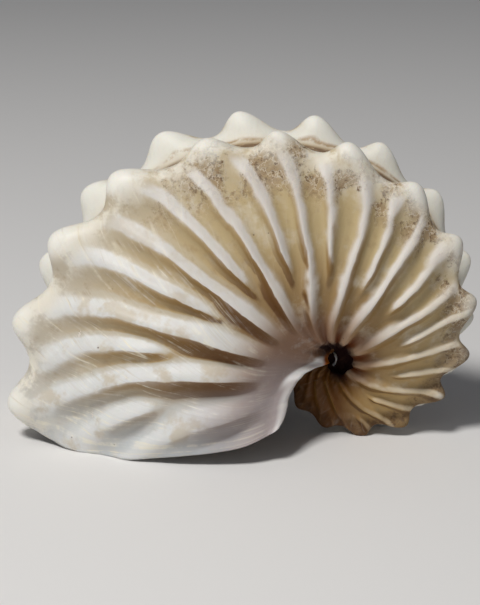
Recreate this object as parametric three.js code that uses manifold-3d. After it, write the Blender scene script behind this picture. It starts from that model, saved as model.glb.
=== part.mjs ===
// Paper nautilus shell: the thin egg case that a female argonaut secretes and carries.
// It is one piece of calcite, a hollow spiral with a narrow flat keel between two rows of knobs,
// ribbed flanks, and a wide mouth that opens down and to the left.
// Millimetres, +Z up, +X towards the coiled end. The shell stands on its mouth margins and on the
// lowest knobs of the coil, with the coil's axis along Y.

import * as THREE from 'three';
import Module from 'manifold-3d';
import { mergeVertices } from 'three/addons/utils/BufferGeometryUtils.js';

// Driving dimensions, in millimetres and degrees. Growth angles turn about the coil's axis:
// 0 points to +X, 90 points up, and the mouth is near 190. Earlier growth has negative angles.

// Growth angle, radius at the top of a knob, radius of the keel's edge between knobs.
const GROWTH = [
  [-240, 5.9, 5.5], [-180, 8.6, 8.0], [-150, 10.0, 9.4], [-130, 11.3, 10.6], [-110, 12.1, 11.2],
  [-90, 13.2, 12.0], [-74, 14.4, 12.6], [-45, 16.3, 14.3], [-18, 18.8, 16.5], [5, 21.9, 19.5],
  [28, 25.6, 23.3], [49, 30.0, 27.5], [68, 34.2, 31.8], [88, 38.9, 36.3], [105, 43.0, 40.0],
  [120, 46.2, 43.3], [138, 50.2, 47.1], [155, 53.1, 50.1], [171, 55.3, 52.2], [187, 56.6, 53.6],
  [216, 57.2, 54.4],
];

// Half of the whorl's section, as shares of the keel radius: distance from the axis and half width,
// from the middle of the keel over its edge and down the flank to the umbilicus.
const SECTION = [
  [0.965, 0.000], [0.973, 0.075], [0.994, 0.135], [0.988, 0.178], [0.930, 0.212], [0.840, 0.245],
  [0.710, 0.292], [0.570, 0.325], [0.430, 0.338], [0.310, 0.318], [0.215, 0.268], [0.140, 0.198],
  [0.075, 0.125], [0.030, 0.075],
];
const KEEL_EDGE = 2.45;       // place of the knob row along SECTION, counted in its points
const RIB_BAND = 6;           // place along SECTION below which the rows close up to the umbilicus

// Growth angles of the knobs: the two rows alternate.
const NEAR_KNOBS = [
  -160, -130, -102, -74, -45, -18, 5, 27.5, 49, 68.5, 88, 104.5, 119.5, 138, 154.5, 171.5, 187,
];
const FAR_KNOBS = [
  -145, -116, -88, -59, -31, -6.5, 16.5, 38, 60, 79.5, 96.5, 113.5, 130, 149, 165.5, 182.5,
];
const KNOB_LEAN = 0.62;       // 0 pushes a knob straight off the surface, more turns it outward
const KNOB_RISE = 1.04;       // knob height against the gap between the knob and keel radii
const KNOB_BASE = 0.985;      // share of the keel radius from which that gap is measured
const LOW_KNOBS = new Map([[104.5, 0.78], [119.5, 0.78]]);   // near knobs that stand lower

// Growth angles of the rib crests at three quarters of the keel radius. Long ribs, which reach
// the umbilicus, alternate with short ones, which die out half way down the flank.
const RIB_CRESTS = [
  -254, -238, -222, -206, -195, -184, -171, -158, -146, -134, -123, -112, -100, -88, -71, -57, -37,
  -20, -3, 12, 25, 36.5, 50, 62, 72, 81.5, 92, 102, 112, 123, 132, 142, 151, 162, 171.5, 181, 192,
  202.5, 214, 226, 238,
];
const FIRST_LONG_RIB = 1;
const RIB_HEIGHT = 0.0155;    // half of crest to trough, as a share of the radius, at 10 degree pitch
const SHARPNESS_INSIDE = 0.6; // under 1 the crests are broad and the furrows narrow, over 1 the reverse
const SHARPNESS_FLANK = 1.9;
const SHARPNESS_LATE = 1.25;
const SHORT_RIB_END = { early: 0.78, middle: 0.47, late: 0.55 };   // share of the radius
const SHORT_RIB_FADE = 0.08;     // half of the share over which a short rib dies out

// How far the ribs lean forward, in degrees, at a growth angle: near the umbilicus, half way down
// the flank, and at the keel.
const RIB_LEAN = [
  [-150, -52, -42, 9], [-125, -50, -30, 8], [-105, -42, -20, 8], [-88, -34, -17, 7],
  [-70, -28, -15, 6], [-55, -22, -13, 6], [-35, -17, -11, 4], [-18, -11, -6, 3], [14, -3, -1, 0],
  [50, 10, 4.5, 1], [85, 17, 5, 2], [102, 17, 2.5, 3], [130, 3, -2, 3], [145, -2, -3, 4],
  [160, -4.3, -3.7, 5], [178, -7, -8, 7], [216, -7, -7.5, 7],
];
const LEAN_BLUR = [-0.09, -0.03, 0.03, 0.09];   // shares of the radius over which the lean is averaged

// The mouth's margin: share of the radius and growth angle, from the umbilicus out to the keel.
const MARGIN = [
  [0.10, 217.5], [0.22, 216.5], [0.30, 213.5], [0.40, 208.5], [0.50, 204.5], [0.60, 202],
  [0.70, 200], [0.80, 197.5], [0.90, 193.8], [0.95, 191], [1.00, 190],
];

// Radius of the flank's inner edge against growth angle: the umbilicus, then the free lip.
const INNER_EDGE = [
  [-240, 2.0], [-180, 2.3], [-60, 2.2], [30, 2.6], [155, 2.6], [162, 3.3], [167, 4.7], [172, 5.75],
  [177, 6.65], [183, 7.4], [191, 8.4], [199, 9.4], [208, 10.4], [214, 11.6], [218, 13.8],
];
const PIT_STEEPNESS = 0.5;    // share of its half width by which the flank is drawn in at the umbilicus

const WALL = 1.3;             // thickest wall, thinner in the small early turns
const WALL_SHARE = 0.09;      // wall as a share of the keel radius in the early turns
const LIP_WALL = 2.2;         // thickened free lip beside the umbilicus
const LIP_ROWS = [8.2, 10];   // places along SECTION between which the lip thickens
const LIP_GROWTH = [150, 185];  // growth angles over which it does
const LIP_CORNER = 0.21;      // share of the radius at which the margin turns into the lip
const FOLLOW = 0.7;           // how much of the relief shows on the inside of the wall
const START_ANGLE = -148;     // earlier growth is inside the core
const CORE_RADIUS = 8.2;      // core of the coil: the first turns, grown together
const CORE_EDGE = 1;          // half width of the core at its edge
const CORE_RIM = 3.1;         // radius of the rims of the core's pits, which lie under the flanks
const RIM_DROP = 0.4;         // how far the rims lie under the flanks
const CORE_STEPS = 20;
const CORE_START = -150;      // growth angle of its first ring of points
const FREE_LIP = [150, 195];  // growth angles over which the lip leaves the core
const PIT_RADIUS = 1.8;       // bottom of the umbilical pit
const PIT_DEPTH = 0.8;        // half width of the core at the bottom of the pits
const WEAR = 0.45;            // height worn flat at the points that the shell stands on

const COLUMNS_PER_RIB = 4;
const LAST_COLUMN = 226;      // growth angle of the last column, past the margin's cut
const KEEL_ROWS = [0, 0.9, 1.75, KEEL_EDGE, 3.1, 3.8, 4.6, RIB_BAND];
const FLANK_ROWS = [0.2, 0.38, 0.56, 0.74, 0.88, 1];

const SHELL_COLOUR = 0xd9cfb6;

const radians = (degrees) => THREE.MathUtils.degToRad(degrees);
const fade = (low, high, x) => THREE.MathUtils.smoothstep(x, low, high);

// Smooth curve through a table's points that never overshoots them.
function tableCurve(table, column = 1) {
  const x = table.map((row) => row[0]);
  const y = table.map((row) => row[column]);
  const slopes = x.slice(1).map((right, i) => (y[i + 1] - y[i]) / (right - x[i]));
  const tangents = y.map((_, i) => {
    const before = slopes[Math.max(i - 1, 0)];
    const after = slopes[Math.min(i, slopes.length - 1)];
    return before * after > 0 ? (2 * before * after) / (before + after) : 0;
  });
  return (at) => {
    const clamped = Math.min(Math.max(at, x[0]), x[x.length - 1]);
    let i = 0;
    while (i < x.length - 2 && clamped > x[i + 1]) i += 1;
    const width = x[i + 1] - x[i];
    const t = (clamped - x[i]) / width;
    const rise = (3 - 2 * t) * t * t;
    return y[i] * (1 - rise) + y[i + 1] * rise
      + width * t * (1 - t) * (tangents[i] * (1 - t) - tangents[i + 1] * t);
  };
}

const knobRadius = tableCurve(GROWTH, 1);
const keelRadius = tableCurve(GROWTH, 2);
const leanAtUmbilicus = tableCurve(RIB_LEAN, 1);
const leanAtFlank = tableCurve(RIB_LEAN, 2);
const leanAtKeel = tableCurve(RIB_LEAN, 3);
const marginAngle = tableCurve(MARGIN);
const innerEdge = tableCurve(INNER_EDGE);
const ribCount = tableCurve(RIB_CRESTS.map((angle, i) => [angle, i]));
const ribAngle = tableCurve(RIB_CRESTS.map((angle, i) => [i, angle]));

const section = new THREE.SplineCurve(SECTION.map(([r, w]) => new THREE.Vector2(r, w)));
const SECTION_SPANS = SECTION.length - 1;
const sectionPoint = (place) => section.getPoint(place / SECTION_SPANS);
const sectionTangent = (place) => section.getTangent(place / SECTION_SPANS);

// Place along the section at which the flank has come in to a radius.
function placeAtRadius(radiusShare) {
  let outer = KEEL_EDGE + 0.5;
  let inner = SECTION_SPANS;
  for (let step = 0; step < 24; step += 1) {
    const middle = (outer + inner) / 2;
    if (sectionPoint(middle).x > radiusShare) outer = middle;
    else inner = middle;
  }
  return inner;
}

// Share of the knob radius that a place on the section has at a growth angle.
const radiusShare = (angle, place) => (sectionPoint(place).x * keelRadius(angle)) / knobRadius(angle);

// Forward lean of the rib lines at a share of the radius, blended between the three tables.
function ribLean(angle, share) {
  const stops = [
    [0.1, 1.5 * leanAtUmbilicus(angle)], [0.2, leanAtUmbilicus(angle)], [0.4, leanAtFlank(angle)],
    [0.7, 0], [0.9, leanAtKeel(angle)],
  ];
  const leans = LEAN_BLUR.map((shift) => {
    const x = THREE.MathUtils.clamp(share + shift, 0.1, 0.9);
    const i = Math.max(stops.findIndex(([stop]) => x <= stop), 1);
    const t = (x - stops[i - 1][0]) / (stops[i][0] - stops[i - 1][0]);
    return THREE.MathUtils.lerp(stops[i - 1][1], stops[i][1], t);
  });
  return leans.reduce((sum, lean) => sum + lean) / leans.length;
}

// Shape of the ribs where they stand at full height: broad and rounded by the umbilicus, and
// narrower crests between wide furrows further out. The short ribs die out down the flank.
function ribProfile(angle, ribLine, share) {
  const count = ribCount(ribLine);
  const onFlank = THREE.MathUtils.lerp(SHARPNESS_FLANK, SHARPNESS_LATE, fade(115, 165, angle));
  const sharpness = THREE.MathUtils.lerp(SHARPNESS_INSIDE, onFlank, fade(0.1, 0.42, share));
  const rounded = (wave) => 2 * ((1 + wave) / 2) ** sharpness - 0.85;
  const allRibs = rounded(Math.cos(2 * Math.PI * count));
  const longRibs = rounded(Math.cos(Math.PI * (count - FIRST_LONG_RIB)));
  const { early, middle, late } = SHORT_RIB_END;
  const shortEnd = THREE.MathUtils.lerp(early, middle, fade(-85, -40, angle))
    + (late - middle) * fade(145, 165, angle);
  const present = fade(shortEnd - SHORT_RIB_FADE, shortEnd + SHORT_RIB_FADE, share);
  return THREE.MathUtils.lerp(longRibs, allRibs, present);
}

function ribHeight(angle, place) {
  const share = radiusShare(angle, place);
  const ribLine = angle - ribLean(angle, share);
  const pitch = 1 / (ribCount(ribLine + 0.5) - ribCount(ribLine - 0.5));
  const window = fade(-0.06, 0.27, share) * (1 - 0.9 * fade(0.8, 0.93, share))
    * fade(KEEL_EDGE - 0.2, KEEL_EDGE + 1.2, place);
  const smoothLip = 1 - fade(92, 140, angle) * (1 - fade(0.2, 0.36, share));
  const lastGrowth = 1 - 0.65 * fade(-10, -1, angle - marginAngle(share));
  return RIB_HEIGHT * knobRadius(angle) * (pitch / 10) * ribProfile(angle, ribLine, share)
    * window * smoothLip * lastGrowth;
}

// Half width of the wall where it turns down into the umbilicus, as a share of the plain section's.
function drawnIn(angle, place) {
  const inward = 1 - fade(0.06, 0.155, radiusShare(angle, place));
  return 1 - PIT_STEEPNESS * inward * fade(20, 75, angle) * (1 - fade(122, 150, angle));
}

function knobHeight(angle, place, knobs) {
  let bump = 0;
  knobs.forEach((knob, i) => {
    const neighbour = angle < knob ? knobs[i - 1] ?? 2 * knob - knobs[i + 1]
      : knobs[i + 1] ?? 2 * knob - knobs[i - 1];
    const reach = Math.abs(neighbour - knob) / 2;
    const x = Math.min(Math.abs(angle - knob) / reach, 1);
    const size = LOW_KNOBS.get(knob) ?? 1;
    bump = Math.max(bump, size * (0.5 + 0.5 * Math.cos(Math.PI * x)) ** 1.2);
  });
  const across = place > KEEL_EDGE ? 1 - fade(0, 2.1, place - KEEL_EDGE)
    : 1 - fade(0, 1.7, KEEL_EDGE - place);
  return KNOB_RISE * (knobRadius(angle) - KNOB_BASE * keelRadius(angle)) * bump * across;
}

// A point of the outer surface. side is -1 on the near flank and 1 on the far one; sink lowers the
// point through the wall, and relief is the share of the ribs and knobs that it keeps.
function surfacePoint(angle, place, side, sink = 0, relief = 1) {
  const middle = sectionPoint(place);
  middle.y *= drawnIn(angle, place);
  const tangent = sectionTangent(place);
  const normal = new THREE.Vector2(tangent.y, -tangent.x);
  const knobWay = normal.clone().multiplyScalar(0.5).add(new THREE.Vector2(KNOB_LEAN, 0)).normalize();
  const point = middle.multiplyScalar(keelRadius(angle))
    .addScaledVector(normal, relief * ribHeight(angle, place) - sink)
    .addScaledVector(knobWay, relief * knobHeight(angle, place, side < 0 ? NEAR_KNOBS : FAR_KNOBS));
  const turn = radians(angle);
  return new THREE.Vector3(point.x * Math.cos(turn), side * point.y, point.x * Math.sin(turn));
}

// Growth angle of a mesh column at a place on the section: columns follow the lean of the ribs.
function columnAngle(ribLine, place, knobShift) {
  let angle = ribLine;
  for (let step = 0; step < 8; step += 1) {
    const share = radiusShare(angle, place);
    angle = ribLine + ribLean(angle, share) + knobShift * fade(0.78, 0.9, share);
  }
  return angle;
}

// The columns' rib lines: each rib has its crest, its trough and the slopes between them.
const firstRib = ribCount(START_ANGLE);
const lastRib = ribCount(LAST_COLUMN);
const columnTotal = 2 * Math.round((COLUMNS_PER_RIB * (lastRib - firstRib)) / 2);
const ribLines = Array.from({ length: columnTotal + 1 }, (_, i) => (
  ribAngle(firstRib + (i / columnTotal) * (lastRib - firstRib))
));

// Near the keel, the column closest to a knob's top moves onto it.
function knobShifts(knobs) {
  const atKeel = ribLines.map((line) => columnAngle(line, KEEL_EDGE, 0));
  const shifts = ribLines.map(() => 0);
  knobs.forEach((knob) => {
    const gaps = atKeel.map((angle) => Math.abs(angle - knob));
    const closest = gaps.indexOf(Math.min(...gaps));
    if (closest > 0 && closest < columnTotal) shifts[closest] = knob - atKeel[closest];
  });
  return shifts;
}

// Rows run from the near inner edge over the keel to the far inner edge.
const halfRows = [...KEEL_ROWS, ...FLANK_ROWS.map((share) => RIB_BAND + share)];
const rowTotal = 2 * (halfRows.length - 1);
const nearShifts = knobShifts(NEAR_KNOBS);
const farShifts = knobShifts(FAR_KNOBS);

function gridPlace(column, row) {
  const side = row < halfRows.length - 1 ? -1 : 1;
  const mark = halfRows[Math.abs(row - (halfRows.length - 1))];
  const shift = (side < 0 ? nearShifts : farShifts)[column];
  let place = mark;
  let angle = columnAngle(ribLines[column], place, shift);
  if (mark > RIB_BAND) {
    for (let step = 0; step < 4; step += 1) {
      const inner = placeAtRadius(innerEdge(angle) / keelRadius(angle));
      place = RIB_BAND + (mark - RIB_BAND) * (inner - RIB_BAND);
      angle = columnAngle(ribLines[column], place, shift);
    }
  }
  return { side, place, angle };
}

function wallThickness(angle, place) {
  const plain = Math.min(WALL, WALL_SHARE * keelRadius(angle));
  const lip = fade(...LIP_GROWTH, angle) * fade(...LIP_ROWS, place);
  return THREE.MathUtils.lerp(plain, LIP_WALL, lip);
}

function outerPoint(column, row) {
  const { side, place, angle } = gridPlace(column, row);
  return surfacePoint(angle, place, side);
}

function innerPoint(column, row) {
  const { side, place, angle } = gridPlace(column, row);
  return surfacePoint(angle, place, side, wallThickness(angle, place), FOLLOW);
}

// Triangles of a solid are gathered as points, three to a triangle, and merged afterwards.
function addQuad(triangles, a, b, c, d) {
  triangles.push(a, b, c, a, c, d);
}

// The wall: a fine outer skin, an inner skin with every second line, and the edges between them.
function wallTriangles() {
  const triangles = [];
  const outer = ribLines.map((_, i) => (
    Array.from({ length: rowTotal + 1 }, (__, j) => outerPoint(i, j))
  ));
  const inner = ribLines.map((_, i) => (
    i % 2 ? null : Array.from({ length: rowTotal + 1 }, (__, j) => (j % 2 ? null : innerPoint(i, j)))
  ));
  for (let i = 0; i < columnTotal; i += 1) {
    for (let j = 0; j < rowTotal; j += 1) {
      addQuad(triangles, outer[i][j], outer[i][j + 1], outer[i + 1][j + 1], outer[i + 1][j]);
    }
  }
  for (let i = 0; i < columnTotal; i += 2) {
    for (let j = 0; j < rowTotal; j += 2) {
      addQuad(triangles, inner[i][j], inner[i + 2][j], inner[i + 2][j + 2], inner[i][j + 2]);
    }
  }
  const closeEdge = (i, j, di, dj) => {
    const [start, middle, end] = [0, 1, 2].map((step) => outer[i + di * step][j + dj * step]);
    const [innerStart, innerEnd] = [inner[i][j], inner[i + 2 * di][j + 2 * dj]];
    triangles.push(start, innerStart, middle, middle, innerStart, innerEnd, middle, innerEnd, end);
  };
  for (let i = 0; i < columnTotal; i += 2) {
    closeEdge(i + 2, 0, -1, 0);
    closeEdge(i, rowTotal, 1, 0);
  }
  for (let j = 0; j < rowTotal; j += 2) {
    closeEdge(0, j, 0, 1);
    closeEdge(columnTotal, j + 2, 0, -1);
  }
  return triangles;
}

// Half width of the core at the rims of its pits: just under the flank that grew around it. Where
// the free lip has left the core, that is the flank of the turn before.
function rimWidth(angle) {
  const flank = (at) => sectionPoint(placeAtRadius(CORE_RIM / keelRadius(at))).y * keelRadius(at)
    * drawnIn(at, placeAtRadius(CORE_RIM / keelRadius(at)));
  const [start, end] = FREE_LIP;
  if (angle > end) return flank(angle - 360) - RIM_DROP;
  return THREE.MathUtils.lerp(flank(angle), flank(START_ANGLE), fade(start, end, angle)) - RIM_DROP;
}

// The core: a small disc on the axis with a pit in each side, whose rims lie under the flanks.
function coreTriangles() {
  const triangles = [];
  const ring = (angle) => {
    const rim = rimWidth(angle);
    const half = [
      [PIT_RADIUS, PIT_DEPTH], [CORE_RIM, rim], [0.5 * (CORE_RIM + CORE_RADIUS), 0.85 * rim],
      [CORE_RADIUS, CORE_EDGE],
    ];
    const profile = [...half.map(([r, y]) => [r, -y]), ...half.reverse()];
    const turn = radians(angle);
    return profile.map(([r, y]) => new THREE.Vector3(r * Math.cos(turn), y, r * Math.sin(turn)));
  };
  const rings = Array.from({ length: CORE_STEPS }, (_, i) => (
    ring(CORE_START + (360 * i) / CORE_STEPS)
  ));
  const bottoms = [-PIT_DEPTH, PIT_DEPTH].map((y) => new THREE.Vector3(0, y, 0));
  rings.forEach((here, i) => {
    const next = rings[(i + 1) % CORE_STEPS];
    for (let j = 0; j < here.length - 1; j += 1) {
      addQuad(triangles, here[j], here[j + 1], next[j + 1], next[j]);
    }
    triangles.push(bottoms[0], here[0], next[0]);
    triangles.push(bottoms[1], next[next.length - 1], here[here.length - 1]);
  });
  return triangles;
}

const wasm = await Module();
wasm.setup();

function solidFromGeometry(geometry) {
  geometry.deleteAttribute('normal');
  geometry.deleteAttribute('uv');
  const merged = mergeVertices(geometry, 1e-5);
  return new wasm.Manifold(new wasm.Mesh({
    numProp: 3,
    vertProperties: new Float32Array(merged.attributes.position.array),
    triVerts: new Uint32Array(merged.index.array),
  }));
}

function solidFromTriangles(triangles) {
  return solidFromGeometry(new THREE.BufferGeometry().setFromPoints(triangles));
}

function geometryFromSolid(solid) {
  const mesh = solid.getMesh();
  const geometry = new THREE.BufferGeometry();
  geometry.setAttribute('position', new THREE.BufferAttribute(mesh.vertProperties, 3));
  geometry.setIndex(new THREE.BufferAttribute(mesh.triVerts, 1));
  geometry.computeVertexNormals();
  return geometry;
}

// What lies beyond the mouth's margin, as a slab across the whole width. It passes the lip's corner
// and drops straight down, clear of the early turns.
function beyondMargin() {
  const steps = 24;
  const [far, low, width] = [-90, -60, 80];
  const margin = Array.from({ length: steps + 1 }, (_, i) => {
    const share = THREE.MathUtils.lerp(1.1, LIP_CORNER, i / steps);
    const turn = radians(marginAngle(share));
    const radius = share * knobRadius(marginAngle(share));
    return new THREE.Vector2(radius * Math.cos(turn), radius * Math.sin(turn));
  });
  const outside = [[margin[steps].x, low], [far, low], [far, margin[0].y]];
  const outline = new THREE.Shape([...margin, ...outside.map(([x, y]) => new THREE.Vector2(x, y))]);
  const slab = new THREE.ExtrudeGeometry(outline, { depth: width, bevelEnabled: false });
  return slab.rotateX(Math.PI / 2).translate(0, width / 2, 0);
}

// The whole shell, trimmed to the mouth's margin and worn flat where it stands.
function shellGeometry() {
  const wall = solidFromTriangles(wallTriangles()).subtract(solidFromGeometry(beyondMargin()));
  const grown = wall.add(solidFromTriangles(coreTriangles()));
  const lowest = grown.boundingBox().min[2];
  const [reach, depth] = [300, 20];
  const ground = new THREE.BoxGeometry(reach, reach, depth).translate(0, 0, lowest + WEAR - depth / 2);
  return geometryFromSolid(grown.subtract(solidFromGeometry(ground)));
}

const shell = new THREE.Mesh(shellGeometry(), new THREE.MeshStandardMaterial({
  color: SHELL_COLOUR,
  roughness: 0.5,
  metalness: 0,
}));
shell.name = 'shell';

// The origin is under the middle of the shell, on the surface that it stands on.
shell.geometry.computeBoundingBox();
const box = shell.geometry.boundingBox;
shell.position.set(-(box.min.x + box.max.x) / 2, -(box.min.y + box.max.y) / 2, -box.min.z);

const part = new THREE.Group();
part.add(shell);

export default part;
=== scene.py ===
"""Paper nautilus shell, the dressed model.

It is the egg case of a female argonaut: one thin wall of calcite, coiled in one plane, with two rows
of knobs beside a narrow keel, ribbed flanks, and a wide mouth that opens down and to the left.
"""

import math

import bpy
import numpy as np
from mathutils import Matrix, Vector


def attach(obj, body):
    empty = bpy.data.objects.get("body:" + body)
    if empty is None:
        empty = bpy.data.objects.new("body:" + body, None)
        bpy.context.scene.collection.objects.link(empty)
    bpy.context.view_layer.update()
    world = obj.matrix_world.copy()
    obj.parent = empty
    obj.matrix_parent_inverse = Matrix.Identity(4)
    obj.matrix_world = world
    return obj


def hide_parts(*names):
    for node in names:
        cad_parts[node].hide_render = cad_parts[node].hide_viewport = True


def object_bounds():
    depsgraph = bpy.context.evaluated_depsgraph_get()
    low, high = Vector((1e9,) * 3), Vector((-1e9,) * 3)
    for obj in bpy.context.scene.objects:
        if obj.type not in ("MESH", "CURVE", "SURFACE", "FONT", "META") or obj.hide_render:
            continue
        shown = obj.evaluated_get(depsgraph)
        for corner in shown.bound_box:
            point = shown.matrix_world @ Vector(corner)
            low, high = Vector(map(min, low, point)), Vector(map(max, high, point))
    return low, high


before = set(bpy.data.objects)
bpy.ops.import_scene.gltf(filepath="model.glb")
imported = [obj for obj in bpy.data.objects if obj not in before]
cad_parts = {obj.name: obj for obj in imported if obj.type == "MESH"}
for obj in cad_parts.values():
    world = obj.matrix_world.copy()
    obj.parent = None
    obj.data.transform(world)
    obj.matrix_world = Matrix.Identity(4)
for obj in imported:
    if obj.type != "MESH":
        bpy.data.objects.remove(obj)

cad_low, cad_high = [np.array(corner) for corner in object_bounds()]

# The coil. The animal adds to the mouth's margin as it grows, so the wall follows a spiral in one
# plane. Growth angles turn about the coil's axis: 0 points to +X, 90 points up, the mouth is near
# 190, and earlier growth has negative angles. Lengths are millimetres until the mesh is made.

# Growth angle, radius at the top of a knob, radius of the keel's edge between knobs.
GROWTH = [
    (-330, 3.6, 3.4), (-240, 5.9, 5.5), (-180, 8.6, 8.0), (-150, 10.0, 9.4), (-130, 11.3, 10.6),
    (-110, 12.1, 11.2), (-90, 13.2, 12.0), (-74, 14.4, 12.6), (-45, 16.3, 14.3), (-18, 18.8, 16.5),
    (5, 21.9, 19.5), (28, 25.6, 23.3), (49, 30.0, 27.5), (68, 34.2, 31.8), (88, 38.9, 36.3),
    (105, 43.0, 40.0), (120, 46.2, 43.3), (138, 50.2, 47.1), (155, 53.1, 50.1), (171, 55.3, 52.2),
    (187, 56.6, 53.6), (216, 57.2, 54.4),
]


def table_curve(table, column=1):
    """Smooth curve through a table's points that never overshoots them."""
    x = np.array([row[0] for row in table], float)
    y = np.array([row[column] for row in table], float)
    slopes = np.diff(y) / np.diff(x)
    before = np.concatenate((slopes[:1], slopes))
    after = np.concatenate((slopes, slopes[-1:]))
    agree = before * after > 0
    tangents = np.where(agree, 2 * before * after / np.where(agree, before + after, 1), 0)

    def curve(at):
        clamped = np.clip(at, x[0], x[-1])
        i = np.clip(np.searchsorted(x, clamped, side="right") - 1, 0, len(x) - 2)
        width = x[i + 1] - x[i]
        t = (clamped - x[i]) / width
        rise = (3 - 2 * t) * t * t
        bend = width * t * (1 - t) * (tangents[i] * (1 - t) - tangents[i + 1] * t)
        return y[i] * (1 - rise) + y[i + 1] * rise + bend

    return curve


def fade(low, high, value):
    """0 up to low, 1 from high on, and a smooth step between them."""
    t = np.clip((value - low) / (high - low), 0, 1)
    return t * t * (3 - 2 * t)


def blend(start, end, share):
    """Start at a share of 0, end at a share of 1."""
    return start + (end - start) * share


knob_radius = table_curve(GROWTH, 1)
keel_radius = table_curve(GROWTH, 2)

# The whorl's section: half of it, as shares of the keel radius. Each point is a distance from the
# axis and a half width, from the middle of the hollow keel over its edge, where the knobs stand,
# and down the bulging flank to the umbilicus.
SECTION = np.array([
    (0.965, 0.000), (0.973, 0.075), (0.994, 0.135), (0.988, 0.178), (0.930, 0.212), (0.840, 0.245),
    (0.710, 0.292), (0.570, 0.325), (0.430, 0.338), (0.310, 0.318), (0.215, 0.268), (0.140, 0.198),
    (0.075, 0.125), (0.030, 0.075),
])
KEEL_EDGE = 2.45      # place of the knob row along SECTION, counted in its points
RIB_BAND = 6          # place below which the rows close up towards the umbilicus


def section_at(place):
    """Points of the section at some places along it, and the unit normals, which point out."""
    spans = len(SECTION) - 1
    i = np.clip(np.floor(place).astype(int), 0, spans - 1)
    t = (place - i)[..., None]
    before = np.where((i > 0)[..., None], SECTION[i - 1], SECTION[1] * (1, -1))
    start, end, after = SECTION[i], SECTION[i + 1], SECTION[np.minimum(i + 2, spans)]
    rise = (end - before) / 2
    run = (after - start) / 2
    point = start + t * (rise + t * (3 * (end - start) - 2 * rise - run
                                     + t * (2 * (start - end) + rise + run)))
    way = rise + t * (2 * (3 * (end - start) - 2 * rise - run) + t * 3 * (2 * (start - end) + rise + run))
    way = way / np.linalg.norm(way, axis=-1, keepdims=True)
    return point, np.stack((way[..., 1], -way[..., 0]), axis=-1)


FLANK_TOP = 3         # place under the knobs, from which the radius falls all the way in
fine_places = np.linspace(FLANK_TOP, len(SECTION) - 1, 2000)
fine_radii = section_at(fine_places)[0][:, 0]


def place_at_radius(share):
    """Place on the flank that lies at a share of the keel radius."""
    return np.interp(-share, -fine_radii, fine_places)


def radius_share(angle, place):
    """Share of the knob radius that a place on the section has at a growth angle."""
    return section_at(place)[0][..., 0] * keel_radius(angle) / knob_radius(angle)


# The mouth's margin. It is the newest edge of the calcite wall, where growth stopped, and it slants
# back from the lip's corner to the keel.

# Share of the radius and growth angle of the margin, from the lip's corner out to the keel.
MARGIN = [
    (0.10, 217.5), (0.22, 216.5), (0.30, 213.5), (0.40, 208.5), (0.50, 204.5), (0.60, 202),
    (0.70, 200), (0.80, 197.5), (0.90, 193.8), (0.95, 191), (1.00, 190),
]
MARGIN_AT_KEEL = 191
margin_angle = table_curve(MARGIN)

# The ribs. They are folds of the wall itself. Long ones reach the umbilicus, and the short ones
# between them die out half way down the flank. All lean forward or back a little with growth.

# Growth angles of the crests at three quarters of the radius, long and short ones in turn.
RIB_CRESTS = [
    -286, -270, -254, -238, -222, -206, -195, -184, -171, -158, -146, -134, -123, -112, -100, -88,
    -71, -57, -37, -20, -3, 12, 25, 36.5, 50, 62, 72, 81.5, 92, 102, 112, 123, 132, 142, 151, 162,
    171.5, 181, 192, 202.5, 214, 226, 238,
]
FIRST_LONG_RIB = 1
RIB_HEIGHT = 0.0155   # half of crest to trough, as a share of the radius, at RIB_PITCH
RIB_PITCH = 10        # degrees

# How narrow the crests are, where 1 is a plain wave.
SHARPNESS_INSIDE = 0.6
SHARPNESS_FLANK = 1.9
SHARPNESS_LATE = 1.25

# Share of the radius at which the short ribs end, and half the length over which they do.
SHORT_RIB_END = {"early": 0.78, "middle": 0.47, "late": 0.55}
SHORT_RIB_FADE = 0.08
TROUGH_DEPTH = 0.85   # where a crest is 1.15 high

# Forward lean in degrees at a growth angle: near the umbilicus, half way down, and at the keel.
RIB_LEAN = [
    (-150, -52, -42, 9), (-125, -50, -30, 8), (-105, -42, -20, 8), (-88, -34, -17, 7), (-70, -28, -15, 6),
    (-55, -22, -13, 6), (-35, -17, -11, 4), (-18, -11, -6, 3), (14, -3, -1, 0), (50, 10, 4.5, 1),
    (85, 17, 5, 2), (102, 17, 2.5, 3), (130, 3, -2, 3), (145, -2, -3, 4), (160, -4.3, -3.7, 5),
    (178, -7, -8, 7), (216, -7, -7.5, 7),
]
lean_at_umbilicus, lean_at_flank, lean_at_keel = [table_curve(RIB_LEAN, i) for i in (1, 2, 3)]
rib_count = table_curve([(angle, i) for i, angle in enumerate(RIB_CRESTS)])


def straight_lean(angle, share):
    """Forward lean of the rib lines, in straight stretches between stops at some shares."""
    near, half, keel = lean_at_umbilicus(angle), lean_at_flank(angle), lean_at_keel(angle)
    stops = [(0.1, 1.5 * near), (0.2, near), (0.4, half), (0.7, 0), (0.9, keel)]
    lean = stops[0][1]
    for (low, _), (high, end) in zip(stops, stops[1:]):
        way = np.clip((share - low) / (high - low), 0, 1)
        lean = np.where(share > low, blend(lean, end, way), lean)
    return lean


def rib_lean(angle, share):
    """Forward lean of the rib lines at a share of the radius, without corners."""
    return sum(straight_lean(angle, share + shift) for shift in (-0.09, -0.03, 0.03, 0.09)) / 4


def uneven(seed, along, across):
    """Smooth random numbers from -1 to 1, which change over one unit of either measure."""
    size = 128
    lattice = np.random.default_rng(seed).uniform(-1, 1, (size, size))
    i = np.floor(along).astype(int)
    j = np.floor(across).astype(int)
    s = fade(0, 1, along - i)
    t = fade(0, 1, across - j)
    start = blend(lattice[i % size, j % size], lattice[i % size, (j + 1) % size], t)
    end = blend(lattice[(i + 1) % size, j % size], lattice[(i + 1) % size, (j + 1) % size], t)
    return blend(start, end, s)


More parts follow.
